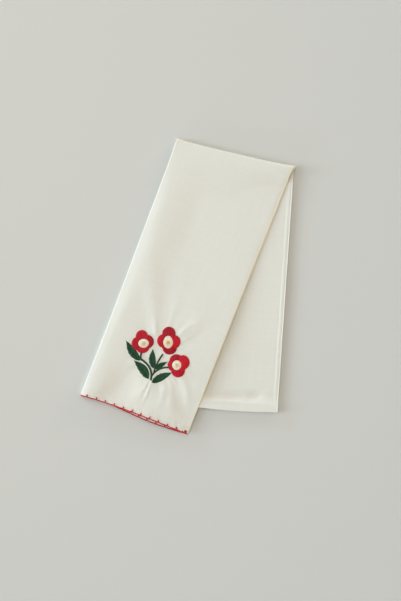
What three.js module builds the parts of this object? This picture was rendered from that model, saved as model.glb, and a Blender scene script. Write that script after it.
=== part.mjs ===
// Tea towel lying folded: the cloth is folded lengthwise in thirds into a strip, and the strip is folded
// once in half over a slightly slanting line, so that the top leg lies splayed over the bottom leg.
// Millimetres, +Z up, origin at the middle of the underside of the whole towel's box.
//
// The cloth is one sheet. It is described across the strip by its section (s to the right from the left
// side fold, n through the layers, towards the face that shows on the top leg), and along the strip by t,
// which is 0 at the half fold, negative along the top leg and positive along the bottom leg.
import * as THREE from 'three';

// Sizes of the cloth and its folds
const SHEET = 1.0;
const LAYER_PITCH = 1.4;
const PANEL = 150.4;
const FIRST_FLAP = 150.6;
const SECOND_FLAP = 147;
const TOP_LEG = 350;
const BOTTOM_LEG = 349;
const HALF_FOLD_RADIUS = 2.4;

// How the strip lies on the table, in degrees from the table's Y axis and X axis
const STRIP_LEAN = 21.25;
const FOLD_SLANT = 12.56;

// The top leg is a little narrower at its end than at the half fold
const END_INSET_LEFT = 3.2;
const END_INSET_RIGHT = 2.1;

// The half fold sags inwards between its corners, and the top leg's end hem bows inwards
const FOLD_SAG = 1.8;
const HEM_BOW = 2.2;
const HEM_SLANT = 1.9;

// At the two corners of the half fold the cloth stands out in small ears
const EARS = { width: 14, reach: 6, left: { along: -0.4, out: 0.9 }, right: { along: 2.3, out: 0.4 } };

// The flap in the middle of the top leg slips a little beyond the hem above it
const FLAP_PEEK = 3.6;
const PEEK_FROM = 40;

// Turned hems, as wide and as far raised as their extra layers make them
const SIDE_HEM = { width: 7, raise: 0.3 };
const END_HEM = { width: 13.5, raise: 0.3 };
const STITCHED_HEM = { width: 9, raise: 0.15 };
const HEM_STEP = 1;

// Where the top leg leaves the bottom leg on the left it comes down to the table
const DRAPE_DROP = 4.4;
const DRAPE_REACH = 25;
const DRAPE_BAND = 0.66;
const FLATTEN_FROM = 230;

// The free corner of the top leg stands a little off the table
const CORNER_LIFT = 1.5;
const CORNER_START = { s: 90, end: 70 };
const CORNER_REACH = 60;

// The sewn sprig draws the top layer up into a low mound with puckers around it
const SPRIG = { s: 76, t: -266, radius: 38 };
const MOUND = 0.5;

// One row for each pucker: its direction from the middle of the sprig (0 to the right, 90 up the strip),
// where it starts and ends, its width, and its height (negative for a trough)
const PUCKERS = [
  { angle: 83, from: 28, to: 95, width: 9, height: -0.35 },
  { angle: 98, from: 26, to: 80, width: 10, height: 0.75 },
  { angle: 68, from: 30, to: 120, width: 10, height: 0.8 },
  { angle: 52, from: 30, to: 85, width: 9, height: -0.4 },
  { angle: 36, from: 30, to: 85, width: 11, height: 0.9 },
  { angle: 15, from: 32, to: 75, width: 9, height: -0.4 },
  { angle: 120, from: 30, to: 75, width: 12, height: 0.5 },
  { angle: 200, from: 34, to: 70, width: 14, height: -0.3 },
  { angle: 232, from: 28, to: 75, width: 12, height: 0.7 },
  { angle: 256, from: 24, to: 75, width: 11, height: 0.9 },
  { angle: 275, from: 26, to: 75, width: 8, height: -0.35 },
  { angle: 292, from: 28, to: 75, width: 8, height: 0.6 },
  { angle: 308, from: 32, to: 80, width: 9, height: -0.35 },
  { angle: 322, from: 34, to: 80, width: 9, height: 0.7 },
];

// The bottom leg's end hem pulls its cloth into a shallow trough above it
const HEM_TROUGH = { distance: 22, width: 12, depth: 0.25 };

// Steps of the mesh: zones along each leg and across each panel, measured from the free end or fold
const HEM_ENDS = (hem) => [{ to: hem.width - HEM_STEP, steps: 1 }, { to: hem.width + HEM_STEP, steps: 1 }];
const TOP_LEG_STEPS = [...HEM_ENDS(STITCHED_HEM), { to: 130, steps: 13 }, { to: TOP_LEG, steps: 9 }];
const BOTTOM_LEG_STEPS = [...HEM_ENDS(END_HEM), { to: 38, steps: 2 }, { to: BOTTOM_LEG, steps: 7 }];
const FIRST_FLAP_STEPS = [...HEM_ENDS(SIDE_HEM), { to: 130, steps: 5 }, { to: FIRST_FLAP, steps: 3 }];
const PANEL_STEPS = [{ to: 20, steps: 3 }, { to: 132, steps: 13 }, { to: PANEL, steps: 2 }];
const SECOND_FLAP_STEPS = [{ to: 130, steps: 5 }, { to: SECOND_FLAP, steps: 2 }];
const HALF_FOLD_STEPS = 8;
const LEFT_FOLD_STEPS = 6;
const RIGHT_FOLD_STEPS = 5;

const radians = THREE.MathUtils.degToRad;
const smooth = (value, from, to) => THREE.MathUtils.smoothstep(value, from, to);
const toMicrometre = (value) => Math.round(value * 1000) / 1000;

// Unit directions on the table
const up = new THREE.Vector2(Math.sin(radians(STRIP_LEAN)), Math.cos(radians(STRIP_LEAN)));
const right = new THREE.Vector2(up.y, -up.x);
const beyondFold = new THREE.Vector2(Math.sin(radians(FOLD_SLANT)), Math.cos(radians(FOLD_SLANT)));
const alongFold = new THREE.Vector2(beyondFold.y, -beyondFold.x);
const bottomLegRight = right.clone().addScaledVector(beyondFold, -2 * right.dot(beyondFold));

// Height of the half fold's axis, which puts the underside of the bottom leg on the table
const AXIS_HEIGHT = HALF_FOLD_RADIUS + LAYER_PITCH + SHEET / 2;
const HALF_TURN = Math.PI * HALF_FOLD_RADIUS;

// Distances 0..last along a run of zones, each with its own number of steps
function stations(zones) {
  const list = [0];
  for (const { to, steps } of zones) {
    const from = list[list.length - 1];
    for (let i = 1; i <= steps; i += 1) {
      list.push(from + ((to - from) * i) / steps);
    }
  }
  return list;
}

// The section across the strip, from the first flap's free hem round both side folds to the second flap's
function section() {
  const columns = [];
  const half = LAYER_PITCH / 2;
  for (const x of stations(FIRST_FLAP_STEPS)) {
    columns.push({ layer: 'first', s: FIRST_FLAP - x, n: -LAYER_PITCH, toEdge: x });
  }
  for (let i = 1; i < LEFT_FOLD_STEPS; i += 1) {
    const turn = (Math.PI * i) / LEFT_FOLD_STEPS;
    columns.push({ layer: 'left fold', s: -LAYER_PITCH * Math.sin(turn), n: -LAYER_PITCH * Math.cos(turn) });
  }
  for (const x of stations(PANEL_STEPS)) {
    columns.push({ layer: 'middle', s: x, n: LAYER_PITCH });
  }
  for (let i = 1; i < RIGHT_FOLD_STEPS; i += 1) {
    const turn = (Math.PI * i) / RIGHT_FOLD_STEPS;
    columns.push({ layer: 'right fold', s: PANEL + half * Math.sin(turn), n: half + half * Math.cos(turn) });
  }
  for (const x of stations(SECOND_FLAP_STEPS)) {
    columns.push({ layer: 'second', s: PANEL - x, n: 0 });
  }
  return columns;
}

// Where along the strip the half fold begins, for one place across it
function foldStart(s) {
  const place = THREE.MathUtils.clamp(s / PANEL, 0, 1);
  const sag = -FOLD_SAG * Math.sin(Math.PI * place);
  return (sag - s * right.dot(beyondFold)) / up.dot(beyondFold);
}

// The end of the top leg: its hem slants and bows, and the second flap peeks out under it
function topEnd(column) {
  const place = THREE.MathUtils.clamp(column.s / PANEL, 0, 1);
  const bow = HEM_BOW * Math.sin(Math.PI * place ** 0.8);
  let end = -TOP_LEG + HEM_SLANT * place + bow;
  if (column.layer === 'second') {
    const slipped = THREE.MathUtils.clamp((PANEL - column.s) / (PANEL - PEEK_FROM), 0, 1);
    end -= FLAP_PEEK * Math.sin(Math.PI * slipped);
  }
  if (column.layer === 'first') {
    end += 0.8 * Math.sin(Math.PI * place);
  }
  return end;
}

// How far the top leg comes down towards the table, left of the bottom leg's left edge
function drapeDrop(plan, t) {
  const edge = LAYER_PITCH + SHEET / 2;
  const leftOf = -(plan.dot(bottomLegRight) - HALF_TURN * beyondFold.dot(bottomLegRight)) - edge;
  const widest = -t * up.dot(bottomLegRight) + HALF_TURN * beyondFold.dot(bottomLegRight);
  if (leftOf <= 0 || widest <= 0) {
    return 0;
  }
  const band = DRAPE_BAND * widest;
  const x = THREE.MathUtils.clamp((leftOf - widest + band) / band, 0, 1);
  const flat = 0.8 * smooth(-t, FLATTEN_FROM, TOP_LEG);
  const depth = DRAPE_DROP * (1 - Math.exp(-widest / DRAPE_REACH));
  return depth * ((1 - flat) * x * x + flat * smooth(x, 0, 1));
}

// Mound and puckers of the top layer around the sewn sprig
function puckers(s, t) {
  const ds = s - SPRIG.s;
  const dt = t - SPRIG.t;
  const distance = Math.hypot(ds, dt);
  let height = MOUND * (1 - smooth(distance, SPRIG.radius * 0.6, SPRIG.radius * 2));
  for (const pucker of PUCKERS) {
    const angle = radians(pucker.angle);
    const out = ds * Math.cos(angle) + dt * Math.sin(angle);
    const off = dt * Math.cos(angle) - ds * Math.sin(angle);
    const along = smooth(out, pucker.from - 10, pucker.from + 4) * (1 - smooth(out, pucker.from, pucker.to));
    height += pucker.height * along * Math.exp(-(((2 * off) / pucker.width) ** 2));
  }
  return height;
}

// Height that the top leg gains or loses against lying flat
function topRelief(column, plan, t) {
  const corner = smooth(column.s, CORNER_START.s, CORNER_START.s + CORNER_REACH)
    * smooth(-t, TOP_LEG - CORNER_START.end, TOP_LEG - CORNER_START.end + CORNER_REACH);
  let height = CORNER_LIFT * corner - drapeDrop(plan, t);
  if (column.layer === 'middle') {
    height += Math.max(0, puckers(column.s, t));
  }
  return height;
}

// How far the cloth stands out at the corners of the half fold: along the fold, and out beyond it
function ear(s, beyond) {
  const near = Math.exp(-(((beyond - HALF_TURN / 2) / EARS.reach) ** 2));
  const left = near * (1 - smooth(s, 0, EARS.width));
  const rightSide = near * smooth(s, PANEL - EARS.width, PANEL);
  return {
    along: left * EARS.left.along + rightSide * EARS.right.along,
    out: left * EARS.left.out + rightSide * EARS.right.out,
  };
}

// Depth of the shallow trough above the bottom leg's end hem. Lower layers take less of it, the lowest none
function hemTrough(t) {
  const off = (BOTTOM_LEG - t - HEM_TROUGH.distance) / (HEM_TROUGH.width / 2);
  return HEM_TROUGH.depth * Math.exp(-(off ** 2));
}

// Middle of the sheet at one column of the section and one place along the strip
function place(column, t) {
  const inset = END_INSET_LEFT - ((END_INSET_LEFT + END_INSET_RIGHT) * column.s) / PANEL;
  const across = column.s + (inset * Math.max(0, -t)) / TOP_LEG;
  const plan = right.clone().multiplyScalar(across).addScaledVector(up, t);
  const fold = foldStart(column.s) * up.dot(beyondFold) + column.s * right.dot(beyondFold);
  const beyond = plan.dot(beyondFold) - fold;
  const layerRadius = HALF_FOLD_RADIUS + column.n;
  let out = beyond;
  let z = AXIS_HEIGHT + layerRadius;
  if (beyond > HALF_TURN) {
    out = HALF_TURN - beyond;
    z = AXIS_HEIGHT - layerRadius;
    z -= hemTrough(t) * ((z - SHEET / 2) / (2 * LAYER_PITCH));
  } else if (beyond > 0) {
    const turn = beyond / HALF_FOLD_RADIUS;
    out = layerRadius * Math.sin(turn);
    z = AXIS_HEIGHT + layerRadius * Math.cos(turn);
  } else {
    z += topRelief(column, plan, t) * smooth(-beyond, 0, 20);
  }
  const stand = ear(column.s, beyond);
  const onTable = alongFold.clone().multiplyScalar(plan.dot(alongFold) + stand.along);
  onTable.addScaledVector(beyondFold, fold + out + stand.out);
  return new THREE.Vector3(onTable.x, onTable.y, z);
}

// Extra thickness of a hem, on the face that shows
function hemRaise(hem, distance) {
  return hem.raise * (1 - smooth(distance, hem.width - HEM_STEP, hem.width + HEM_STEP));
}

function faceOffset(column, t, end) {
  const extra = [0];
  if (column.layer === 'first') {
    extra.push(hemRaise(SIDE_HEM, column.toEdge), hemRaise(END_HEM, BOTTOM_LEG - t));
  }
  if (column.layer === 'middle') {
    extra.push(hemRaise(STITCHED_HEM, t - end));
  }
  return SHEET / 2 + Math.max(...extra);
}

// All places along the strip, for one column: the rows follow the hems at the ends and the fold between
function rows(column) {
  const top = topEnd(column);
  const fold = foldStart(column.s);
  const foldEnd = fold + HALF_TURN / up.dot(beyondFold);
  const list = stations(TOP_LEG_STEPS).map((x) => top + ((fold - top) * x) / TOP_LEG);
  for (let i = 1; i < HALF_FOLD_STEPS; i += 1) {
    list.push(fold + ((foldEnd - fold) * i) / HALF_FOLD_STEPS);
  }
  const bottom = stations(BOTTOM_LEG_STEPS).reverse();
  return list.concat(bottom.map((x) => BOTTOM_LEG + ((foldEnd - BOTTOM_LEG) * x) / BOTTOM_LEG));
}

// A closed sheet: the middle surface is moved out by half the thickness to each side, and the rim is joined
function sheetGeometry() {
  const columns = section();
  const along = columns.map(rows);
  const middle = columns.map((column, i) => along[i].map((t) => place(column, t)));
  const across = columns.length;
  const count = along[0].length;
  const positions = [];
  const at = (list, i) => list[THREE.MathUtils.clamp(i, 0, list.length - 1)];
  for (const side of [1, -1]) {
    for (let i = 0; i < across; i += 1) {
      for (let j = 0; j < count; j += 1) {
        const acrossStep = at(middle, i + 1)[j].clone().sub(at(middle, i - 1)[j]);
        const alongStep = at(middle[i], j + 1).clone().sub(at(middle[i], j - 1));
        const normal = acrossStep.cross(alongStep).normalize();
        const offset = side > 0 ? faceOffset(columns[i], along[i][j], along[i][0]) : -SHEET / 2;
        const corner = middle[i][j].clone().addScaledVector(normal, offset);
        positions.push(...corner.toArray().map(toMicrometre));
      }
    }
  }
  const index = [];
  const point = (side, i, j) => side * across * count + i * count + j;
  const quad = (a, b, c, d) => index.push(a, b, c, a, c, d);
  const lastColumn = across - 1;
  const lastRow = count - 1;
  for (let i = 0; i + 1 < across; i += 1) {
    for (let j = 0; j + 1 < count; j += 1) {
      quad(point(0, i, j), point(0, i + 1, j), point(0, i + 1, j + 1), point(0, i, j + 1));
      quad(point(1, i, j), point(1, i, j + 1), point(1, i + 1, j + 1), point(1, i + 1, j));
    }
  }
  for (let i = 0; i + 1 < across; i += 1) {
    quad(point(0, i, 0), point(1, i, 0), point(1, i + 1, 0), point(0, i + 1, 0));
    quad(point(0, i + 1, lastRow), point(1, i + 1, lastRow), point(1, i, lastRow), point(0, i, lastRow));
  }
  for (let j = 0; j + 1 < count; j += 1) {
    const next = j + 1;
    quad(point(0, 0, next), point(1, 0, next), point(1, 0, j), point(0, 0, j));
    quad(point(0, lastColumn, j), point(1, lastColumn, j), point(1, lastColumn, next), point(0, lastColumn, next));
  }
  const geometry = new THREE.BufferGeometry();
  geometry.setAttribute('position', new THREE.Float32BufferAttribute(positions, 3));
  geometry.setIndex(index);
  geometry.computeBoundingBox();
  const box = geometry.boundingBox;
  geometry.translate(-(box.min.x + box.max.x) / 2, -(box.min.y + box.max.y) / 2, -box.min.z);
  geometry.computeVertexNormals();
  return geometry;
}

const cloth = new THREE.MeshStandardMaterial({ color: 0xe4e2d6, roughness: 0.9, metalness: 0 });
const towel = new THREE.Mesh(sheetGeometry(), cloth);
towel.name = 'towel';

const model = new THREE.Group();
model.add(towel);

export default model;
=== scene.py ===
# Looks of the folded tea towel: the thin cloth with its hems and creases, the sewn sprig, the blanket
# stitch along the end hem and the machine stitching of the other hems.
import math

import bpy
import numpy as np
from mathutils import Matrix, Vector


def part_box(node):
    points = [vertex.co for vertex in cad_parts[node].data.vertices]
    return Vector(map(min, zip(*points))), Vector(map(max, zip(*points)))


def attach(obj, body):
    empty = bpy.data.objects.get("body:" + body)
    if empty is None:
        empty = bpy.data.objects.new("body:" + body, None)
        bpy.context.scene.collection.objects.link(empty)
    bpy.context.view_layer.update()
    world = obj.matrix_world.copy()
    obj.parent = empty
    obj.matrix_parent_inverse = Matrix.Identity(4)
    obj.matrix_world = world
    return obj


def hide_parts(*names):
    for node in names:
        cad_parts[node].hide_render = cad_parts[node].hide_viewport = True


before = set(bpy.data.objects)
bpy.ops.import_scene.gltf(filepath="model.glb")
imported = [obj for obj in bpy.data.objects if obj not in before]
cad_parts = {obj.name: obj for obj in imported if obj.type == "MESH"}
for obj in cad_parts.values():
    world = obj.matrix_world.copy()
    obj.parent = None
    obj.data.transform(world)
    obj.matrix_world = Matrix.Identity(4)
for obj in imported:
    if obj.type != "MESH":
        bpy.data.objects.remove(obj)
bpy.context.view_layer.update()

# Sizes of the cloth, in millimetres until a mesh is made. They follow the solid's folds
SHEET, LAYER_PITCH = 0.5, 1.4
PANEL, FIRST_FLAP, SECOND_FLAP = 151.9, 153.1, 148.0
TOP_LEG, BOTTOM_LEG = 350.0, 348.2
FOLD_RADIUS = 2.4
STRIP_LEAN, FOLD_SLANT = math.radians(21.25), math.radians(12.56)

# How its edges stray from straight: the stitched hem's corners come in, the half fold sags and droops, the
# stitched hem bows and slants, the plain one slants, and the left fold is hollow and stands out a little
END_INSET_LEFT, END_INSET_RIGHT = 3.2, 1.8
FOLD_SAG, FOLD_DROOP = 1.8, 1.4
HEM_BOW, HEM_BOW_SKEW, HEM_SLANT = 2.4, 0.8, 2.9
BOTTOM_SLANT = 4.4
LEFT_HOLLOW, LEFT_REACH = 1.1, 0.25

# How the top leg's lower layers lie: tucked in at the right, with the second flap out a little beyond the
# hem and the first one back, and the lowest draped down to the table
TUCK = 2.2
FLAP_PEEK, PEEK_FROM, FLAP_HIDE = 3.6, 40.0, 0.8
DRAPE_DROP, DRAPE_REACH = 4.6, 25.0

# How far the top leg settles on the bottom one and each of its layers on the next, near the half fold
# and at the hems
SETTLE_NEAR, SETTLE_FAR = 1.45, 1.2
PRESS_NEAR, PRESS_FAR = 0.85, 0.4

# The left fold is puffy: its top face bulges beside it and rounds off over its rim
BULGE, BULGE_TOP, BULGE_END = 1.8, 12.0, 62.0
RIM_SLOPE, RIM_WIDTH, RIM_WIDER = 0.17, 11.5, 10.5

# One millimetre, in metres
MM = 0.001

# Distances across the flat cloth, from the first flap's free hem
LEFT_FOLD = math.pi * LAYER_PITCH
RIGHT_FOLD = math.pi * LAYER_PITCH / 2
PANEL_START = FIRST_FLAP + LEFT_FOLD
PANEL_END = PANEL_START + PANEL
SECOND_START = PANEL_END + RIGHT_FOLD
CLOTH_WIDTH = SECOND_START + SECOND_FLAP

# Widths of the hems and how far they stand up, then the blanket stitch's pitch, its first stitch, the
# scallop between two and its thread's radius, and the plain hem's puckers
SIDE_HEM, END_HEM, STITCHED_HEM = 5.4, 12.6, 9.0
SIDE_RAISE, END_RAISE, STITCHED_RAISE = 0.24, 0.80, 0.16
STITCH_PITCH, FIRST_STITCH = 12.65, 1.4
SCALLOP, EDGE_THREAD = 0.42, 0.8
PUCKER_START, PUCKER_PITCH = 20.0, 22.6

# Painted shade: the cloth is drawn a little warmer and darker along its right fold, for the warm shade that
# bounced light leaves there
PAINTED_FOLD_SHADE, FOLD_SHADE_WIDTH = (0.765, 0.70, 0.51), 5.2

# Where the middle of the sprig is sewn, across the strip and along it from the half fold
SPRIG_S, SPRIG_T = 76.0, -266.0

# Where the strip's left side meets the half fold, on the table
ON_TABLE = (-13.7, 186.89)


def step(value, start, end):
    """0 up to start, 1 from end on, and smooth between them."""
    x = np.clip((value - start) / (end - start), 0, 1)
    return x * x * (3 - 2 * x)


def bell(value, middle, width):
    """1 at the middle, and down to about a third half a width off."""
    return np.exp(-(((value - middle) / (width / 2)) ** 2))


def named(names, rows):
    """Rows of numbers that are read by these names."""
    return np.array(rows, dtype=[(name, float) for name in names.split()])


# Unit directions on the table
UP = np.array([math.sin(STRIP_LEAN), math.cos(STRIP_LEAN)])
RIGHT = np.array([UP[1], -UP[0]])
BEYOND = np.array([math.sin(FOLD_SLANT), math.cos(FOLD_SLANT)])
ALONG = np.array([BEYOND[1], -BEYOND[0]])
BOTTOM_RIGHT = RIGHT - 2 * RIGHT.dot(BEYOND) * BEYOND
AXIS_HEIGHT = FOLD_RADIUS + LAYER_PITCH + SHEET / 2
HALF_TURN = math.pi * FOLD_RADIUS


# The section across the strip

def section(a):
    """Place s across the strip and n through its layers, for distances a across the flat cloth."""
    left = np.pi * np.clip((a - FIRST_FLAP) / LEFT_FOLD, 0, 1)
    right = np.pi * np.clip((a - PANEL_END) / RIGHT_FOLD, 0, 1)
    half = LAYER_PITCH / 2
    where = [a < FIRST_FLAP, a < PANEL_START, a < PANEL_END, a < SECOND_START]
    s = np.select(
        where,
        [FIRST_FLAP - a, -LEFT_REACH * np.sin(left), a - PANEL_START, PANEL + half * np.sin(right)],
        PANEL - (a - SECOND_START),
    )
    flat = 0 * a + LAYER_PITCH
    n = np.select(where, [-flat, -LAYER_PITCH * np.cos(left), flat, half + half * np.cos(right)], 0.0)
    return s, n


def droop(place):
    """How far the half fold drops back towards its right end, for places 0 to 1 across the strip."""
    return FOLD_DROOP * step(place, 0.5, 0.9)


def fold_start(s):
    """Where along the strip the half fold begins."""
    place = np.clip(s / PANEL, 0, 1)
    sag = FOLD_SAG * np.sin(np.pi * place) + droop(place)
    return (-sag - s * RIGHT.dot(BEYOND)) / UP.dot(BEYOND)


def between_stitches(a):
    """0 at each blanket stitch, and 1 half way between two."""
    return np.abs(np.sin(np.pi * (a - FIRST_STITCH) / STITCH_PITCH))


def top_end(a):
    """Where along the strip the top leg's stitched hem ends, with a small scallop between its stitches."""
    s, _ = section(a)
    place = np.clip(s / PANEL, 0, 1)
    end = -TOP_LEG + HEM_SLANT * place + HEM_BOW * np.sin(np.pi * place**HEM_BOW_SKEW)
    slipped = np.clip((PANEL - s) / (PANEL - PEEK_FROM), 0, 1)
    end = end - np.where(a > SECOND_START, FLAP_PEEK * np.sin(np.pi * slipped), 0)
    end = end + np.where(a < FIRST_FLAP, FLAP_HIDE * np.sin(np.pi * place), 0)
    return end - SCALLOP * between_stitches(a) + SCALLOP / 2


def bottom_end(a):
    """Where along the strip the bottom leg's plain hem ends."""
    s, _ = section(a)
    place = np.clip(s / PANEL, 0, 1)
    return BOTTOM_LEG - BOTTOM_SLANT * (1 - place) - 2 * droop(place)


# Relief of the top leg

# One row for each crease round the sprig: its direction 50 mm out from the sprig's middle (0 to the right,
# 90 up the strip), how far it turns in each 10 mm, where it starts and ends, its width and its height. A
# trough has a height below 0
CREASES = named("angle turn start end width height", [
    (115.5, 0.0, 28, 130, 18, 0.85),
    (115.5, 0.0, 26, 56, 6, 0.44),
    (131, 0.0, 26, 40, 4, 0.30),
    (90.5, 0.0, 36, 112, 6.5, 0.20),
    (60, 0.6, 42, 92, 16, 0.66),
    (63, 0.0, 34, 68, 6, 0.36),
    (45, -1.0, 54, 84, 11, -0.28),
    (76, 0.0, 38, 76, 6, 0.16),
    (49, 0.0, 32, 54, 4, 0.30),
    (37, 0.0, 29, 48, 4, 0.40),
    (25, 0.0, 32, 52, 4, 0.40),
    (8, 0.0, 44, 68, 6, 0.30),
    (350, 0.0, 44, 62, 6, 0.34),
    (336, -4.5, 38, 92, 10, 0.50),
    (325, 0.0, 30, 54, 4, 0.46),
    (317, 0.0, 30, 54, 4, 0.46),
    (319, 0.0, 52, 96, 11, -0.30),
    (301, -3.5, 38, 78, 9, 0.40),
    (311, -2.0, 44, 90, 10, 0.30),
    (290, 0.0, 38, 60, 5, 0.20),
    (284, 0.0, 32, 60, 4, 0.34),
    (277, -1.5, 32, 70, 4.5, 0.72),
    (269.5, -1.5, 30, 62, 4, 0.56),
    (266, 0.0, 42, 84, 12, 0.50),
    (301, 2.0, 62, 96, 16, 0.46),
    (221, 0.0, 28, 52, 5, 0.46),
    (211, 0.0, 28, 50, 4, 0.36),
    (205, 0.0, 40, 64, 10, 0.20),
    (190, 0.0, 40, 56, 5, 0.18),
    (166, 0.0, 40, 58, 6, 0.20),
    (150, 0.0, 40, 62, 7, 0.20),
])

# The low mound that the sprig lies on: its height, and where it begins and stops to fall
MOUND, MOUND_TOP, MOUND_END = 0.6, 30, 105

# The hollow left of the sprig's foot, down to the hem
HOLLOW, HOLLOW_ANGLE, HOLLOW_WIDTH = 1.5, 241, 34

# Fine ripples right at the sewing, between the creases: how many and how high
GATHERS, GATHER_HEIGHT = 46, 0.07

# How far behind the half fold the top leg has come to rest, at its left and its right side
REST_LEFT, REST_RIGHT = 70, 24

# Heights of the top face's broad forms: two sets of waves, its fall to the right near the half fold and
# over its right edge, its fall to the right near the hem in two parts, and a low ridge there
WAVE, FINE_WAVE = 0.14, 0.08
FOLD_FALL, EDGE_FALL = 0.5, 0.35
HEM_FALL, HEM_EDGE_FALL = 0.8, 1.3
LOW_RIDGE = 0.6
FACE_LIFT = 0.15

# The top leg's right corner rises a little, and its right side bows up half way along, each layer more than
# the one below. Its face rises to the hem, most between the stitches
CORNER_RISE = 0.2
BOW, BOW_OF_LAYER = 0.3, 0.4
HEM_RISE, BETWEEN_RISE = 0.5, 0.35

# The bottom leg's face: the trough behind its end hem, the puckers along it and its rise to the end, then
# the ripple of its side hem and its waves
TROUGH, TROUGH_BEHIND, TROUGH_WIDTH = 1.7, 20, 13
PUCKER, PUCKER_WIDTH = 0.95, 4.6
RISE_TO_END, SIDE_RIPPLE, BACK_WAVE = 0.9, 0.05, 0.12

# How far the half fold's left and right corners stand out, along the fold and beyond it, and how much of the
# fold does, along it and round it
LEFT_EAR, RIGHT_EAR = (-0.4, 0.9), (2.3, 0.4)
EAR_WIDTH, EAR_DEPTH = 14, 12


def from_sprig(s, t, angle, turn=0):
    """How far s and t lie out from the sprig's middle, and how far beside a line that goes out from it."""
    out = np.hypot(s - SPRIG_S, t - SPRIG_T)
    beside = np.arctan2(t - SPRIG_T, s - SPRIG_S) - np.radians(angle + turn * (out - 50) / 10)
    return out, np.where(np.cos(beside) > 0, out * np.sin(beside), 1e3)


def creases(s, t):
    """Height of the top layer round the sprig: a low mound and the creases that the sewing draws in."""
    height = MOUND * (1 - step(np.hypot(s - SPRIG_S, t - SPRIG_T), MOUND_TOP, MOUND_END))
    for row in CREASES:
        out, off = from_sprig(s, t, row["angle"], row["turn"])
        middle = (row["start"] + row["end"]) / 2
        along = step(out, row["start"] - 8, row["start"] + 4) * (1 - step(out, middle - 6, row["end"]))
        spread = row["width"] * (0.8 + 0.4 * np.clip(out / 60, 0, 1.5))
        height = height + row["height"] * along * bell(off, 0, spread)
    return height


def gathers(s, t):
    """Fine short ripples at the sewing's rim."""
    ds, dt = s - SPRIG_S, t - SPRIG_T
    turn = np.arctan2(dt, ds)
    distance = np.hypot(ds / 1.12, dt)
    ripple = np.sin(GATHERS / 2 * turn + 1.7 * np.sin(3 * turn)) * (0.6 + 0.4 * np.sin(5 * turn + 0.8))
    return GATHER_HEIGHT * ripple * step(distance, 26, 34) * (1 - step(distance, 38, 56))


def settling(s, behind):
    """How far the cloth has come to rest, from 0 at the half fold to 1, for distances behind the fold."""
    return step(behind, 3, REST_LEFT - (REST_LEFT - REST_RIGHT) * step(s, 50, PANEL))


def loosened(t):
    """How loosely the layers lie, from 0 near the half fold to 1 near the hem."""
    return step(-t, 60, 330)


def fall(plan, t, settled):
    """How much further the top leg's lowest layer comes down, to the table, left of the bottom leg."""
    shift = HALF_TURN * BEYOND.dot(BOTTOM_RIGHT)
    left_of = -(plan @ BOTTOM_RIGHT - shift) - (LAYER_PITCH + SHEET / 2)
    widest = np.maximum(-t * UP.dot(BOTTOM_RIGHT) + shift, 1e-3)
    rest = np.maximum(DRAPE_DROP * (1 - np.exp(-widest / DRAPE_REACH)) - settled, 0)
    return rest * step(left_of, 0, np.minimum(0.9 * widest, 45))


def puff(s, t):
    """Height of the top face beside the left fold: a low bulge, rounded off over the rim."""
    width = (RIM_WIDTH + RIM_WIDER * bell(-t, 156, 130)) * (1 - 0.3 * step(-t, 300, 340))
    rim = RIM_SLOPE * width / 2 * np.clip(1 - np.maximum(s, 0) / width, 0, 1) ** 2
    return BULGE * (1 - step(s, BULGE_TOP, BULGE_END)) - rim


def loose(s, t):
    """Broad low forms of cloth that has been folded and smoothed by hand."""
    wave = WAVE * np.sin(0.021 * t + 0.034 * s + 0.6) * np.sin(0.013 * t - 0.021 * s + 1.9)
    wave = wave + FINE_WAVE * np.sin(0.055 * s + 0.017 * t + 2.2) * np.sin(0.043 * t + 0.4)
    near_fold = FOLD_FALL * step(s, 105, PANEL) * (1 - step(-t, 60, 160))
    rounded_off = EDGE_FALL * step(s, PANEL - 7, PANEL) * (1 - step(-t, 120, 210))
    near_hem = (HEM_FALL * step(s, 84, PANEL) + HEM_EDGE_FALL * step(s, 116, PANEL)) * step(-t, 285, 325)
    low_ridge = LOW_RIDGE * bell(s, 95, 30) * step(-t, 296, 330)
    out, off = from_sprig(s, t, HOLLOW_ANGLE)
    hollow = HOLLOW * step(out, 24, 62) * bell(off, 0, HOLLOW_WIDTH) * step(s, 6, 34)
    wave = wave * step(s, -6, 30)
    return FACE_LIFT + wave + low_ridge - near_fold - rounded_off - near_hem - hollow


def top_relief(a, s, n, plan, t, behind):
    """Height that the top leg gains or loses. Its lowest layer falls, and its face mostly doesn't."""
    layer = n / LAYER_PITCH + 1
    rested = settling(s, behind)
    settled = rested * (SETTLE_NEAR + (SETTLE_FAR - SETTLE_NEAR) * loosened(t))
    pressed = rested * (PRESS_NEAR + (PRESS_FAR - PRESS_NEAR) * loosened(t))
    corner = CORNER_RISE * step(s, 90, PANEL) * step(-t, TOP_LEG - 70, TOP_LEG - 10)
    bowed = step(s, 20, PANEL) * bell(-t, 228, 176)
    height = corner + bowed * (BOW + BOW_OF_LAYER * layer) - settled - pressed * layer
    height = height - (1 - layer / 2) * fall(plan, t, settled + BOW * bowed)
    height = height + layer / 2 * (loose(s, t) + rested * puff(s, t))
    upper = step(a, PANEL_START, PANEL_START + 12) * (1 - step(a, PANEL_END - 12, PANEL_END))
    from_end = t - top_end(a)
    to_hem = HEM_RISE * step(-t, TOP_LEG - 34, TOP_LEG - 6)
    to_hem = to_hem + BETWEEN_RISE * (between_stitches(a) - 0.4) * bell(from_end, 4, 7)
    return height + upper * (np.maximum(0, creases(s, t) + gathers(s, t)) + to_hem)


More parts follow.
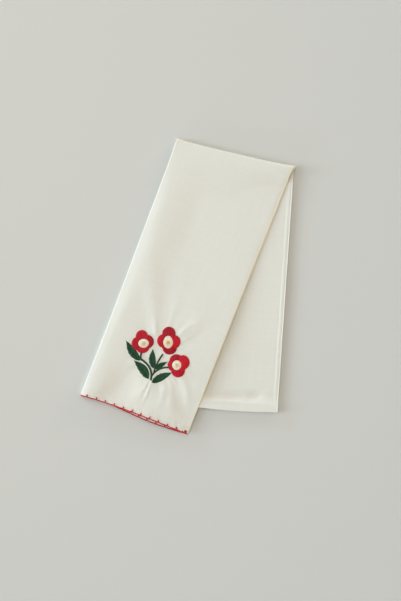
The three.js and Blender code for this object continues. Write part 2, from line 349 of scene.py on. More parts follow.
def bottom_relief(a, t):
    """Height that the bottom leg's upper layer gains: it rises to its puckered end hem from a trough."""
    from_end = bottom_end(a) - t
    puckered = step(a, 14, 34)
    uneven = 1 + 0.35 * np.sin(0.17 * a + 0.6) * np.sin(0.06 * a + 2.0)
    deeper = 1.5 - step(a, 36, 70)
    trough = -TROUGH * bell(from_end, TROUGH_BEHIND, TROUGH_WIDTH) * uneven * deeper
    trough = trough * (0.35 + 0.65 * puckered)
    tight = np.abs(np.sin(np.pi * (a - PUCKER_START) / PUCKER_PITCH)) ** 0.6 * puckered
    pucker = PUCKER * (tight - 0.6) * bell(from_end, END_HEM - 1.2, PUCKER_WIDTH)
    rise = RISE_TO_END * (1 - step(from_end, 8, 34))
    side = SIDE_RIPPLE * np.sin(0.55 * t + 1.3 * np.sin(0.05 * t)) * bell(a, SIDE_HEM - 1, 6)
    wave = BACK_WAVE * np.sin(0.045 * a + 0.012 * t) * np.sin(0.031 * t + 1.0)
    return rise + trough + pucker + side + wave


# The cloth's middle surface

def ears(s, beyond):
    """How far the half fold's two corners stand out along the fold, and out beyond it."""
    near = bell(beyond, HALF_TURN / 2, EAR_DEPTH)
    left = near * (1 - step(s, 0, EAR_WIDTH))
    right = near * step(s, PANEL - EAR_WIDTH, PANEL)
    return tuple(left_way * left + right_way * right for left_way, right_way in zip(LEFT_EAR, RIGHT_EAR))


def cloth_point(a, t):
    """Points of the middle surface for distances a across and t along the cloth, in millimetres."""
    a, t = np.broadcast_arrays(np.asarray(a, float), np.asarray(t, float))
    s, n = section(a)
    inset = END_INSET_LEFT - (END_INSET_LEFT + END_INSET_RIGHT) * s / PANEL
    across = s + inset * np.maximum(0, -t) / TOP_LEG
    across = across + LEFT_HOLLOW * bell(-t, 215, 230) * (1 - step(s, 0, 60))
    tucked = TUCK * (0.5 - n / (2 * LAYER_PITCH)) * step(s, 20, PANEL) * step(-t, 30, 140)
    across = across - tucked
    plan = across[..., None] * RIGHT + t[..., None] * UP
    fold = fold_start(s) * UP.dot(BEYOND) + s * RIGHT.dot(BEYOND)
    beyond = plan @ BEYOND - fold
    turn = np.clip(beyond / FOLD_RADIUS, 0, math.pi)
    radius = FOLD_RADIUS + n
    out = np.where(beyond > 0, radius * np.sin(turn), beyond)
    out = np.where(beyond > HALF_TURN, HALF_TURN - beyond, out)
    z = AXIS_HEIGHT + radius * np.cos(turn)
    share = (z - SHEET / 2) / (2 * LAYER_PITCH)
    z = z + np.where(beyond < 0, top_relief(a, s, n, plan, t, -beyond) * step(-beyond, 0, 12), 0)
    z = z + np.where(beyond > HALF_TURN, share * bottom_relief(a, t) * step(beyond - HALF_TURN, 0, 20), 0)
    stand_along, stand_out = ears(s, beyond)
    flat = (plan @ ALONG + stand_along)[..., None] * ALONG + (fold + out + stand_out)[..., None] * BEYOND
    return np.concatenate([flat, z[..., None]], axis=-1)


def lifted(a, t, lift):
    """Points that stand lift above the middle surface, on the face that shows on the top leg."""
    eps = 0.05
    across = cloth_point(a + eps, t) - cloth_point(a - eps, t)
    along = cloth_point(a, t + eps) - cloth_point(a, t - eps)
    normal = np.cross(across, along)
    normal /= np.linalg.norm(normal, axis=-1, keepdims=True)
    return cloth_point(a, t) + normal * np.asarray(lift)[..., None]


def hem_raise(a, t):
    """Extra thickness of the hems on the face that shows, on one side of the cloth."""
    side = SIDE_RAISE * (1 - step(a, SIDE_HEM - 0.5, SIDE_HEM + 0.5)) * (0.4 + 0.6 * step(a, 0, 4))
    end = END_RAISE * (1 - step(bottom_end(a) - t, END_HEM - 1.6, END_HEM + 1.6))
    stitched = STITCHED_RAISE * (1 - step(t - top_end(a), STITCHED_HEM - 1, STITCHED_HEM + 1))
    on_first = a < FIRST_FLAP
    on_panel = (a > FIRST_FLAP) & (a < SECOND_START)
    return np.where(on_first, np.maximum(side, end), np.where(on_panel, stitched, 0))


# Meshes

def in_scene(name, data):
    """A new object of this data, in the scene."""
    ob = bpy.data.objects.new(name, data)
    bpy.context.scene.collection.objects.link(ob)
    return ob


def new_object(name, points, faces, tone=None):
    """A mesh object from points in millimetres and arrays of faces, with an optional tone for each point."""
    mesh = bpy.data.meshes.new(name)
    mesh.vertices.add(len(points))
    mesh.vertices.foreach_set("co", (points * MM).ravel())
    loops = np.concatenate([f.ravel() for f in faces])
    mesh.loops.add(len(loops))
    mesh.loops.foreach_set("vertex_index", loops)
    counts = np.concatenate([np.full(len(f), f.shape[1]) for f in faces])
    mesh.polygons.add(len(counts))
    mesh.polygons.foreach_set("loop_start", np.concatenate([[0], np.cumsum(counts)[:-1]]))
    mesh.polygons.foreach_set("use_smooth", np.ones(len(counts), bool))
    mesh.update(calc_edges=True)
    mesh.validate()
    if tone is not None:
        mesh.attributes.new("Tone", "FLOAT", "POINT").data.foreach_set("value", tone)
    return in_scene(name, mesh)


def points_of(piece):
    """A piece's points in metres, a row for each."""
    co = np.empty(3 * len(piece.data.vertices))
    piece.data.vertices.foreach_get("co", co)
    return co.reshape(-1, 3)


def lowest(piece):
    """Height of a piece's lowest point, in metres."""
    return points_of(piece)[:, 2].min()


def spaced(zones):
    """Distances from 0 through zones of (end, rough step)."""
    marks = [0.0]
    for end, gap in zones:
        count = max(1, round((end - marks[-1]) / gap))
        marks.extend(np.linspace(marks[-1], end, count + 1)[1:])
    return np.array(marks)


# Zones of the cloth's mesh, finer where it shows, turns or puckers: across its flaps and panel, and along
# its legs from their hems. Then the number of flat parts in each of the three folds
FIRST_ZONES = [(1, 1), (4.5, 1.2), (6.3, 0.45), (9, 1.4), (FIRST_FLAP, 4)]
PANEL_ZONES = [(0.3, 0.3), (1.2, 0.9), (14, 1.6), (138, 1.15), (PANEL, 1.8)]
SECOND_ZONES = [(SECOND_FLAP, 6.6)]
TOP_ZONES = [(1, 1), (8, 1.8), (10, 1), (150, 1.35), (TOP_LEG, 4.6)]
BOTTOM_ZONES = [(1, 1), (9.6, 1.8), (14, 1), (40, 2), (BOTTOM_LEG, 8)]
LEFT_PARTS, RIGHT_PARTS, HALF_PARTS = 9, 7, 13


def make_cloth():
    """The whole towel as one closed sheet, with its flat measure as a UV map."""
    a = np.concatenate(
        [
            spaced(FIRST_ZONES),
            FIRST_FLAP + LEFT_FOLD * np.arange(1, LEFT_PARTS) / LEFT_PARTS,
            PANEL_START + spaced(PANEL_ZONES),
            PANEL_END + RIGHT_FOLD * np.arange(1, RIGHT_PARTS) / RIGHT_PARTS,
            SECOND_START + spaced(SECOND_ZONES),
        ]
    )
    s, _ = section(a)
    top, fold, bottom = top_end(a), fold_start(s), bottom_end(a)
    fold_end = fold + HALF_TURN / UP.dot(BEYOND)
    x_top = spaced(TOP_ZONES) / TOP_LEG
    x_fold = np.arange(1, HALF_PARTS) / HALF_PARTS
    x_bottom = spaced(BOTTOM_ZONES)[::-1] / BOTTOM_LEG
    t = np.concatenate(
        [
            top[:, None] + (fold - top)[:, None] * x_top,
            fold[:, None] + (fold_end - fold)[:, None] * x_fold,
            bottom[:, None] + (fold_end - bottom)[:, None] * x_bottom,
        ],
        axis=1,
    )
    grid_a = np.broadcast_to(a[:, None], t.shape)
    middle = cloth_point(grid_a, t)
    normal = np.cross(np.gradient(middle, axis=0), np.gradient(middle, axis=1))
    normal /= np.linalg.norm(normal, axis=-1, keepdims=True)
    raised = SHEET / 2 + hem_raise(grid_a, t)
    points = np.concatenate(
        [(middle + normal * raised[..., None]).reshape(-1, 3), (middle - normal * SHEET / 2).reshape(-1, 3)]
    )
    across, along = t.shape
    index = np.arange(across * along).reshape(across, along)
    face = [index[:-1, :-1], index[1:, :-1], index[1:, 1:], index[:-1, 1:]]
    upper = np.stack([f.ravel() for f in face], axis=1)
    lower = upper[:, ::-1] + index.size
    rims = []
    for edge in (index[::-1, 0], index[:, -1], index[0, :], index[-1, ::-1]):
        here, after = edge[:-1], edge[1:]
        rims.append(np.stack([after, here, here + index.size, after + index.size], axis=1))
    # Painted warm shade along the right fold, carried in the cloth's Tone
    fold_shade = bell(grid_a.ravel(), PANEL_END + RIGHT_FOLD / 2, FOLD_SHADE_WIDTH)
    cloth = new_object("towel_cloth", points, [upper, lower, *rims], np.concatenate([fold_shade, fold_shade]))
    uv = cloth.data.uv_layers.new(name="Cloth")
    flat = np.stack([grid_a.ravel(), t.ravel() + TOP_LEG], axis=1) * MM
    flat = np.concatenate([flat, flat])
    loops = np.empty(len(cloth.data.loops), int)
    cloth.data.loops.foreach_get("vertex_index", loops)
    uv.data.foreach_set("uv", flat[loops].ravel())
    return cloth


# Sewing drawn flat

def satin(starts, ends, width, crown, base, seed, spans=4, sides=5):
    """Stitches as closed flat tubes, drawn flat, that rise by crown from base above the cloth.

    They come as points, faces and each point's tone.
    """
    starts, ends = np.asarray(starts, float), np.asarray(ends, float)
    count = len(starts)
    u = np.linspace(0, 1, spans + 1)
    way = ends - starts
    length = np.linalg.norm(way, axis=1, keepdims=True)
    side = np.stack([-way[:, 1], way[:, 0]], axis=1) / np.maximum(length, 1e-6)
    middle = starts[:, None] + way[:, None] * u[None, :, None]
    rise = np.sin(np.pi * u) ** 0.5
    z = base + crown * rise - 0.25 * (1 - rise)
    slim = 0.72 + 0.28 * rise
    around = 2 * np.pi * np.arange(sides) / sides
    reach = (width / 2) * slim[:, None] * np.cos(around)
    plan = middle[:, :, None] + side[:, None, None] * reach[None, :, :, None]
    height = (z[:, None] + 0.35 * width * slim[:, None] * np.sin(around))[None].repeat(count, axis=0)
    points = np.concatenate([plan, height[..., None]], axis=-1)
    ring = np.arange(count * (spans + 1) * sides).reshape(count, spans + 1, sides)
    turned = np.roll(ring, -1, axis=2)
    quads = np.stack([ring[:, :-1], turned[:, :-1], turned[:, 1:], ring[:, 1:]], axis=-1).reshape(-1, 4)
    caps = np.concatenate([ring[:, 0, ::-1], ring[:, -1]])
    tone = np.random.default_rng(seed).random(count).repeat((spans + 1) * sides)
    return points.reshape(-1, 3), [quads, caps], tone


def joined(parts):
    """One set of points, faces and tones from several."""
    points, faces, tones = zip(*parts)
    first = np.cumsum([0] + [len(part) for part in points[:-1]])
    faces = [np.concatenate([f[kind] + k for f, k in zip(faces, first)]) for kind in (0, 1)]
    return np.concatenate(points), faces, np.concatenate(tones)


def on_face(a, t, z):
    """Points z above the cloth's face that shows on the top leg."""
    return lifted(a, t, SHEET / 2 + hem_raise(a, t) + z)


def sew(name, parts):
    """An object from stitches drawn flat round the sprig's middle."""
    points, faces, tone = joined(parts)
    world = on_face(PANEL_START + SPRIG_S + points[:, 0], SPRIG_T + points[:, 1], points[:, 2])
    return new_object(name, world, faces, tone)


# The sprig. Its flowers, leaves and stems are worked out from these few sizes

# Each flower's middle and rough radius, its eye's middle from there, the eye's width and height, how
# pointed the eye is at the top, and how pale its knots are
FLOWERS = named("x y radius eye_x eye_y eye_width eye_height point pale", [
    (-24.4, 9.0, 14.6, 2.0, -1.5, 14.8, 11.8, 0.0, 0.8),
    (7.4, 22.1, 16.2, 0.0, -2.1, 13.1, 16.0, 0.14, 0.0),
    (31.4, -3.0, 15.0, -2.5, -0.4, 12.4, 12.8, 0.04, 0.8),
])

# Each flower's four petals: the way each points, how far out it is centred and how full it is
PETALS = named("angle out full", [
    [(121, 0.50, 0.55), (22, 0.42, 0.60), (-70, 0.36, 0.66), (-138, 0.42, 0.62)],
    [(109, 0.60, 0.54), (11, 0.42, 0.56), (-58, 0.50, 0.60), (-160, 0.38, 0.56)],
    [(58, 0.46, 0.62), (138, 0.44, 0.60), (192, 0.38, 0.58), (-72, 0.42, 0.60)],
])

# Each leaf from base to tip, with its half width and how far its rib bends aside
LEAVES = named("x y tip_x tip_y half bend", [
    (-19, -15, -45, 2, 5.2, 1.5),
    (0.8, -33.0, -25.2, -18.0, 5.6, -1.9),
    (2, -18, -8, 4, 4.6, 1.2),
    (4, -18, 15.2, -4.4, 3.1, 0.5),
    (6.4, -36.0, 26, -15.2, 4.8, 0.8),
])

# Each stem as the four control points of a curve, and its half width
STEMS = [
    ([(4.0, -33.4), (3, -24), (-3, -15), (-20, -12.5)], 1.35),
    ([(-17, -14), (-20, -11), (-20.5, -9), (-20.5, -4)], 1.25),
    ([(4, -22), (3.5, -14), (4, -6), (6.5, 3)], 1.15),
    ([(3.5, -27), (6, -17), (14, -11), (22, -9.5)], 1.15),
]

# Width and pitch of the sprig's stitches, and of those in its eyes
STITCH_WIDTH, STITCH_GAP = 0.85, 0.55
EYE_STITCH_WIDTH, EYE_STITCH_GAP = 0.72, 0.5

# How far a leaf's stitches slant to its tip, as a share of its length, how far they start across its rib and
# the last ones reach beyond its tip, and the slant of a stem's stitches
LEAF_SLANT, RIB_OVERLAP, TIP_REACH, STEM_SLANT = 0.14, 0.22, 0.9, 0.45

# Each knot's thread width and half length, and how far out the six outer ones sit
KNOT_THREAD, KNOT_REACH, KNOT_RING = 1.05, 0.85, 1.75

# Each petal has a row of stitches near the eye and one to the rim: how far out it goes, its pitch and lift
PETAL_ROWS = [(0.74, 0.85, 0.62), (1.0, 0.52, 0.42)]


def lobed(flower, petals, turn):
    """Distance from a flower's middle to its outline: four round petals, each a circle off centre."""
    reach = np.zeros_like(turn)
    for petal in petals:
        off = turn - math.radians(petal["angle"])
        inside = petal["full"] ** 2 - (petal["out"] * np.sin(off)) ** 2
        edge = petal["out"] * np.cos(off) + np.sqrt(np.maximum(inside, 0))
        reach = np.maximum(reach, np.where(inside > 0, edge, 0))
    return flower["radius"] * np.maximum(reach, 0.70)


def round_eye(flower, turn):
    """Distance from an eye's middle to its edge, which comes to a slight point at the top."""
    leaned = turn - STRIP_LEAN
    x, y = np.cos(leaned) / flower["eye_width"], np.sin(leaned) / flower["eye_height"]
    return 0.5 / np.hypot(x, y) * (1 + flower["point"] * np.maximum(0, np.cos(turn - 1.9)) ** 4)


def flower_point(flower, turn, distance):
    return np.stack([flower["x"] + distance * np.cos(turn), flower["y"] + distance * np.sin(turn)], axis=-1)


def eye_point(flower, turn, distance):
    return flower_point(flower, turn, distance) + np.array([flower["eye_x"], flower["eye_y"]])


def padding(rings, heights):
    """A closed smooth pad through rings of equally many points, at these heights, drawn flat."""
    levels = [np.concatenate([r, np.full((len(r), 1), h)], axis=1) for r, h in zip(rings, heights)]
    points = np.concatenate(levels)
    index = np.arange(len(points)).reshape(len(rings), -1)
    across, along = np.roll(index, -1, axis=0), np.roll(index, -1, axis=1)
    both = np.roll(across, -1, axis=1)
    quads = np.stack([index, across, both, along], axis=-1).reshape(-1, 4)
    return points, [quads, np.empty((0, 5), int)], np.full(len(points), 0.35)


def make_petals(flower, petals, seed):
    """A pad with a hole for the eye, and over it stitches that run out from the eye, petal by petal."""
    rng = np.random.default_rng(seed)
    turn = np.linspace(0, 2 * np.pi, 120, endpoint=False)
    edge, hole = lobed(flower, petals, turn), round_eye(flower, turn)
    inner, rim = eye_point(flower, turn, hole), flower_point(flower, turn, edge - 0.8)
    deep, under = eye_point(flower, turn, hole - 2), flower_point(flower, turn, edge - 0.9)
    rings = [deep, inner, 0.5 * (inner + rim), rim, under, deep]
    parts = [padding(rings, (0.25, 0.45, 0.45, 0.15, -0.3, -0.3))]
    for row, (outer, gap, lift) in enumerate(PETAL_ROWS):
        count = round(2 * np.pi * flower["radius"] * 0.95 / gap)
        turn = 2 * np.pi * (np.arange(count) + 0.5 * row) / count
        way = np.radians(petals["angle"])
        near = np.argmin(np.abs(np.angle(np.exp(1j * (turn[:, None] - way[None])))), axis=1)
        off = np.angle(np.exp(1j * (turn - way[near])))
        reach = lobed(flower, petals, turn) * outer * (1 + (1 - row) * rng.normal(0, 0.05, count))
        root = way[near] + 0.94 * off
        start = eye_point(flower, root, round_eye(flower, root) - 0.4)
        end = flower_point(flower, turn, reach + row * rng.normal(0, 0.10, count))
        points, faces, tone = satin(start, end, STITCH_WIDTH, crown=0.22, base=lift, seed=seed + row, spans=5)
        # Painted sheen and shade: each petal's stitches are drawn lighter or darker together, as if its satin
        # caught the light or not
        petal_sheen = 0.5 + 0.5 * np.sin(2.4 * near + 0.9 * seed)
        parts.append((points, faces, 0.55 * tone + 0.45 * petal_sheen.repeat(len(tone) // count)))
    return parts


def make_eye(flower, seed):
    """A pad, and stitches over it from its middle to the petals."""
    count = round(math.pi * (flower["eye_width"] + 1) / EYE_STITCH_GAP)
    turn = 2 * np.pi * np.arange(count) / count
    ring = np.linspace(0, 2 * np.pi, 60, endpoint=False)
    hole = round_eye(flower, ring)
    rings = [eye_point(flower, ring, d) for d in (0 * hole, 0.5 * hole, hole - 0.2, hole - 0.2, 0 * hole)]
    jitter = np.random.default_rng(seed).normal(0, 0.12, count)
    end = eye_point(flower, turn, round_eye(flower, turn) + 0.45 + jitter)
    stitches = satin(eye_point(flower, turn, 1.3), end, EYE_STITCH_WIDTH, crown=0.25, base=0.55, seed=seed)
    return [padding(rings, (0.5, 0.6, 0.3, -0.3, -0.3)), stitches]


def make_knots(flower, seed):
    """Seven small knots in the middle of the eye, each three crossed turns of thread."""
    places = [(0, 0)] + [(k * math.pi / 3 + 0.3, KNOT_RING) for k in range(6)]
    parts = []
    for k, (turn, distance) in enumerate(places):
        middle = eye_point(flower, np.array(turn), distance)
        for j in range(3):
            angle = turn + j * math.pi / 3
            arm = KNOT_REACH * np.array([math.cos(angle), math.sin(angle)])
            ends = [middle - arm], [middle + arm]
            knot = satin(*ends, KNOT_THREAD, crown=0.35, base=1.0 + 0.1 * j, seed=seed + 3 * k + j)
            parts.append((*knot[:2], flower["pale"] + 0.2 * knot[2]))
    return parts


def make_leaf(row, seed):
    """Two rows of slanting stitches that meet at the leaf's midrib, over a pad."""
    base, tip = np.array([row["x"], row["y"]]), np.array([row["tip_x"], row["tip_y"]])
    way = tip - base
    length = np.linalg.norm(way)
    side = np.array([-way[1], way[0]]) / length

    def rib(x):
        return base + x[:, None] * way + (row["bend"] * np.sin(np.pi * x))[:, None] * side

    def half_width(x, edge):
        swell = np.sin(np.pi * np.clip(x, 0, 1) ** 0.85) ** 0.8
        return row["half"] * swell * (1 + 0.05 * np.sin(2 * np.pi * 5 * x + seed) * (edge > 0))

    x = np.linspace(0, 1, 26)
    there, back = rib(x), rib(x[::-1])
    left, right = half_width(x, 1), half_width(x[::-1], -1)
    rings = [
        np.concatenate([there + share * left[:, None] * side, back - share * right[:, None] * side])
        for share in (0, 0.55, 0.9, 0.85, 0)
    ]
    parts = [padding(rings, (0.12, 0.3, 0.1, -0.3, -0.3))]
    u = np.linspace(0, 1, round(length / STITCH_GAP))
    for edge in (-1, 1):
        out = np.clip(u + LEAF_SLANT, 0, 1)
        tips = rib(out) + (edge * half_width(out, edge))[:, None] * side
        beyond = TIP_REACH * np.clip(u - (1 - LEAF_SLANT), 0, 1) / LEAF_SLANT
        tips = tips + beyond[:, None] * way / length
        start = rib(u) - (edge * RIB_OVERLAP) * side
        parts.append(satin(start, tips, STITCH_WIDTH, crown=0.30, base=0.12, seed=seed + edge))
    return parts


def curve(points, u):
    """Points at u, from 0 to 1, on the curve of four control points."""
    p = np.array(points, float)
    v = 1 - u
    weights = np.stack([v**3, 3 * v**2 * u, 3 * v * u**2, u**3], axis=1)
    return weights @ p


def make_stem(points, half, seed):
    """Short slanting stitches side by side across the stem."""
    rough = curve(points, np.linspace(0, 1, 60))
    count = max(4, round(np.linalg.norm(np.diff(rough, axis=0), axis=1).sum() / STITCH_GAP))
    middle = curve(points, np.linspace(0, 1, count))
    way = np.gradient(middle, axis=0)
    way /= np.linalg.norm(way, axis=1, keepdims=True)
    side = np.stack([-way[:, 1], way[:, 0]], axis=1)
    start, end = middle - half * side - STEM_SLANT * way, middle + half * side + STEM_SLANT * way
    return [satin(start, end, STITCH_WIDTH, crown=0.5, base=0.15, seed=seed)]


# Thread in the round

def tube(path, radius, sides=8, ply_pitch=2.4, ply_depth=0.16):
    """A closed tube of two-ply thread along world points in millimetres."""
    path = np.asarray(path, float)
    way = np.gradient(path, axis=0)
    way /= np.linalg.norm(way, axis=1, keepdims=True)
    frames = []
    normal = np.cross(way[0], [0.3, 0.2, 1.0])
    for direction in way:
        normal = normal - direction * normal.dot(direction)
        normal /= np.linalg.norm(normal)
        frames.append((normal, np.cross(direction, normal)))
    frames = np.array(frames)
    gone = np.concatenate([[0], np.cumsum(np.linalg.norm(np.diff(path, axis=0), axis=1))])
    around = 2 * np.pi * np.arange(sides) / sides
    ply = 1 + ply_depth * np.cos(2 * (around[None] - np.pi * gone[:, None] / ply_pitch))
    cos, sin = np.cos(around)[None, :, None], np.sin(around)[None, :, None]
    ring = cos * frames[:, None, 0] + sin * frames[:, None, 1]
    points = path[:, None] + radius * ply[..., None] * ring
    index = np.arange(len(path) * sides).reshape(len(path), sides)
    turned = np.roll(index, -1, axis=1)
    quads = np.stack([index[:-1], turned[:-1], turned[1:], index[1:]], axis=-1).reshape(-1, 4)
    caps = np.stack([index[0, ::-1], index[-1]])
    tone = np.tile(0.5 + 0.5 * np.cos(gone)[:, None], (1, sides)).ravel()
    return points.reshape(-1, 3), [quads, caps], tone


def rounded(points, cuts):
    """Points on the smooth curve through these, with this many cuts in each span."""
    p = np.asarray(points, float)
    before, after = 2 * p[0] - p[1], 2 * p[-1] - p[-2]
    p = np.vstack([before, p, after])
    u = (np.arange(cuts) / cuts)[None, :, None]
    a, b, c, d = (p[k : len(p) - 3 + k, None] for k in range(4))
    bend, twist = 2 * a - 5 * b + 4 * c - d, 3 * b - a - 3 * c + d
    spans = 0.5 * (2 * b + (c - a) * u + bend * u**2 + twist * u**3)
    return np.vstack([spans.reshape(-1, 3), p[-2]])


def in_fold(a):
    """Whether a is in the left or right fold of the strip, where the edge turns and no tick fits."""
    return FIRST_FLAP - 1 < a < PANEL_START + 1.5 or PANEL_END - 1 < a < SECOND_START + 1


# How deep the blanket stitch's ticks go in from the edge, and how far they vary in lean and in depth
TICK, TICK_LEAN, TICK_VARIES = 2.1, 0.3, 0.25

# In a drawn stitch the first lift stands for the second one, in millimetres above the cloth's face
DRAWN_LIFT, THREAD_LIFT = 0.9, 0.7


def make_edge_stitch():
    """Blanket stitch all along the stitched hem: ticks through the cloth, and thread along its edge."""
    count = int(CLOTH_WIDTH // STITCH_PITCH)
    rng = np.random.default_rng(7)
    # Each point of the route is a place along the hem, a depth in from its edge and a drawn lift
    route = []
    for k in range(count + 1):
        a = min(max(k * STITCH_PITCH + FIRST_STITCH, 0.8), CLOTH_WIDTH - 0.8)
        lean, depth = rng.normal(0, TICK_LEAN), TICK + rng.normal(0, TICK_VARIES)
        if k:
            route += [(a - (1 - x) * STITCH_PITCH, -0.35, 0.05) for x in (0.3, 0.55, 0.8)]
        if in_fold(a):
            continue
        route += [
            (a - 0.5, -0.45, 0.35),
            (a + 0.3 * lean, 0.7, 0.95),
            (a + lean, depth - 0.6, 0.9),
            (a + lean, depth, 0.0),
            (a + lean, depth - 0.7, -0.8),
            (a + 0.2, 0.6, -0.85),
            (a + 0.5, -0.5, -0.1),
        ]
    route = np.array(route)
    a = np.clip(route[:, 0], 0.2, CLOTH_WIDTH - 0.2)
    lift = route[:, 2] * (SHEET / 2 + THREAD_LIFT) / DRAWN_LIFT
    thread = rounded(lifted(a, top_end(a) + route[:, 1], lift), 3)
    # Under the lowest layer the table presses the thread into the cloth
    thread[:, 2] = np.maximum(thread[:, 2], lowest(cloth) / MM + EDGE_THREAD / 2)
    points, faces, tone = tube(thread, EDGE_THREAD)
    return new_object("edge_stitch", points, faces, tone)


# Each machine stitch's length, the gap to the next one and its thread's width, and how far the two seams
# run from the inner edges of the side and the end hem
HEM_STITCH, HEM_GAP, HEM_THREAD = 2.3, 0.8, 0.42
SIDE_SEAM, END_SEAM = 1.6, 2.2


def make_hem_stitch():
    """Machine stitches along the first flap's side hem and the bottom leg's end hem."""
    pitch = HEM_STITCH + HEM_GAP
    t = np.arange(4, BOTTOM_LEG - 1, pitch)
    side_a = np.full_like(t, SIDE_HEM - SIDE_SEAM)
    a = np.arange(1.0, FIRST_FLAP + LEFT_FOLD, pitch)
    end_t = bottom_end(a) - END_HEM + END_SEAM
    starts = np.concatenate([np.stack([side_a, t], axis=1), np.stack([a, end_t], axis=1)])
    ways = [np.tile([0, HEM_STITCH], (len(t), 1)), np.tile([HEM_STITCH, 0], (len(a), 1))]
    ends = starts + np.concatenate(ways)
    points, faces, tone = satin(starts, ends, HEM_THREAD, crown=0.10, base=0.0, seed=3, spans=3)
    return new_object("hem_stitch", on_face(points[:, 0], points[:, 1], points[:, 2]), faces, tone)


# Materials

def new_material(name, colour, roughness):
    material = bpy.data.materials.new(name)
    material.use_nodes = True
    material.diffuse_color = (*colour, 1)
    shader = material.node_tree.nodes["Principled BSDF"]
    shader.inputs["Base Color"].default_value = (*colour, 1)
    shader.inputs["Roughness"].default_value = roughness
    return material, material.node_tree, shader


def add(tree, kind, **settings):
    """A new node, with settings for its properties, and for its inputs where the name is a socket's."""
    node = tree.nodes.new(kind)
    for name, value in settings.items():
        if hasattr(node, name):
            setattr(node, name, value)
        else:
            node.inputs[name.replace("_", " ")].default_value = value
    return node


def math_node(tree, operation, *values):
    """A math node's output, for values that are numbers or other outputs."""
    node = add(tree, "ShaderNodeMath", operation=operation)
    for socket, value in zip(node.inputs, values):
        if isinstance(value, (int, float)):
            socket.default_value = value
        else:
            tree.links.new(value, socket)
    return node.outputs[0]


def mixed(tree, factor, first, second):
    """The mix of two colours by a factor. The first may be another output."""
    node = add(tree, "ShaderNodeMix", data_type="RGBA")
    tree.links.new(factor, node.inputs[0])
    sockets = {socket.name: socket for socket in node.inputs if socket.type == "RGBA"}
    if isinstance(first, tuple):
        sockets["A"].default_value = (*first, 1)
    else:
        tree.links.new(first, sockets["A"])
    sockets["B"].default_value = (*second, 1)
    return next(socket for socket in node.outputs if socket.type == "RGBA")


def roughen(tree, shader, height, strength, distance):
    """Fine relief on a shader, from an output that gives its height."""
    bump = add(tree, "ShaderNodeBump", Strength=strength, Distance=distance)
    tree.links.new(height, bump.inputs["Height"])
    tree.links.new(bump.outputs["Normal"], shader.inputs["Normal"])


# How fine the threads' fibres are
FIBRE_SCALE = 3500.0


def thread_material(name, dark, light, roughness):
    """Stranded cotton: each stitch has its own tone, with fine fibres in its relief."""
    material, tree, shader = new_material(name, [(d + b) / 2 for d, b in zip(dark, light)], roughness)
    tone = add(tree, "ShaderNodeAttribute", attribute_name="Tone")
    tree.links.new(mixed(tree, tone.outputs["Fac"], dark, light), shader.inputs["Base Color"])
    where = add(tree, "ShaderNodeTexCoord")
    fibre = add(tree, "ShaderNodeTexNoise", Scale=FIBRE_SCALE, Detail=2.0)
    tree.links.new(where.outputs["Object"], fibre.inputs["Vector"])
    roughen(tree, shader, fibre.outputs["Fac"], 0.35, 0.1 * MM)
    shader.inputs["Specular IOR Level"].default_value = 0.22
    shader.inputs["Sheen Weight"].default_value = 0.04
    return material


# The weave's pitch, the scale of its uneven threads along and across them, and the cloth's two tones
WEAVE_PITCH = 0.52 * MM
SLUB_LONG, SLUB_FINE = 18, 760
CLOTH_DARK, CLOTH_PALE = (0.728, 0.717, 0.628), (0.782, 0.771, 0.685)


def cloth_material():
    """Plain weave with uneven threads, drawn on the flat cloth's own measure."""
    material, tree, shader = new_material("cloth", (0.76, 0.75, 0.665), 0.9)
    shader.inputs["Sheen Weight"].default_value = 0.12
    shader.inputs["Sheen Roughness"].default_value = 0.5
    shader.inputs["Specular IOR Level"].default_value = 0.25
    uv = add(tree, "ShaderNodeUVMap", uv_map="Cloth")
    split = add(tree, "ShaderNodeSeparateXYZ")
    tree.links.new(uv.outputs["UV"], split.inputs["Vector"])
    wave_a, wave_t = (
        math_node(tree, "SINE", math_node(tree, "MULTIPLY", split.outputs[way], math.pi / WEAVE_PITCH))
        for way in "XY"
    )
    over = math_node(tree, "GREATER_THAN", math_node(tree, "MULTIPLY", wave_a, wave_t), 0.0)
    warp = math_node(tree, "ABSOLUTE", wave_a)
    weft = math_node(tree, "ABSOLUTE", wave_t)
    warp_up = math_node(tree, "MULTIPLY", warp, math_node(tree, "MULTIPLY_ADD", weft, 0.4, 0.6))
    weft_up = math_node(tree, "MULTIPLY", weft, math_node(tree, "MULTIPLY_ADD", warp, 0.4, 0.6))
    weave = add(tree, "ShaderNodeMix")
    tree.links.new(over, weave.inputs[0])
    tree.links.new(weft_up, weave.inputs[2])
    tree.links.new(warp_up, weave.inputs[3])
    slubs = []
    for scale in ((SLUB_LONG, SLUB_FINE, 20), (SLUB_FINE, SLUB_LONG, 20)):
        stretch = add(tree, "ShaderNodeVectorMath", operation="MULTIPLY")
        stretch.inputs[1].default_value = scale
        tree.links.new(uv.outputs["UV"], stretch.inputs[0])
        noise = add(tree, "ShaderNodeTexNoise", Scale=1.0, Detail=3.0, Roughness=0.6)
        tree.links.new(stretch.outputs[0], noise.inputs["Vector"])
        slubs.append(noise.outputs["Fac"])
    uneven = math_node(tree, "ADD", *slubs)
    tone = add(tree, "ShaderNodeMapRange", From_Min=0.6, From_Max=1.4, To_Min=0.0, To_Max=1.0)
    tree.links.new(uneven, tone.inputs["Value"])
    # The Tone mixes in the painted warm shade along the right fold
    painted_shade = add(tree, "ShaderNodeAttribute", attribute_name="Tone")
    plain = mixed(tree, tone.outputs[0], CLOTH_DARK, CLOTH_PALE)
    tree.links.new(mixed(tree, painted_shade.outputs["Fac"], plain, PAINTED_FOLD_SHADE), shader.inputs["Base Color"])
    relief = math_node(tree, "ADD", math_node(tree, "MULTIPLY", uneven, 0.5), weave.outputs[0])
    roughen(tree, shader, relief, 0.5, 0.12 * MM)
    return material


def floor_material():
    material, _, shader = new_material("floor", FLOOR_TONE, 0.9)
    shader.inputs["Specular IOR Level"].default_value = 0.1
    return material


# Pieces

cloth = make_cloth()

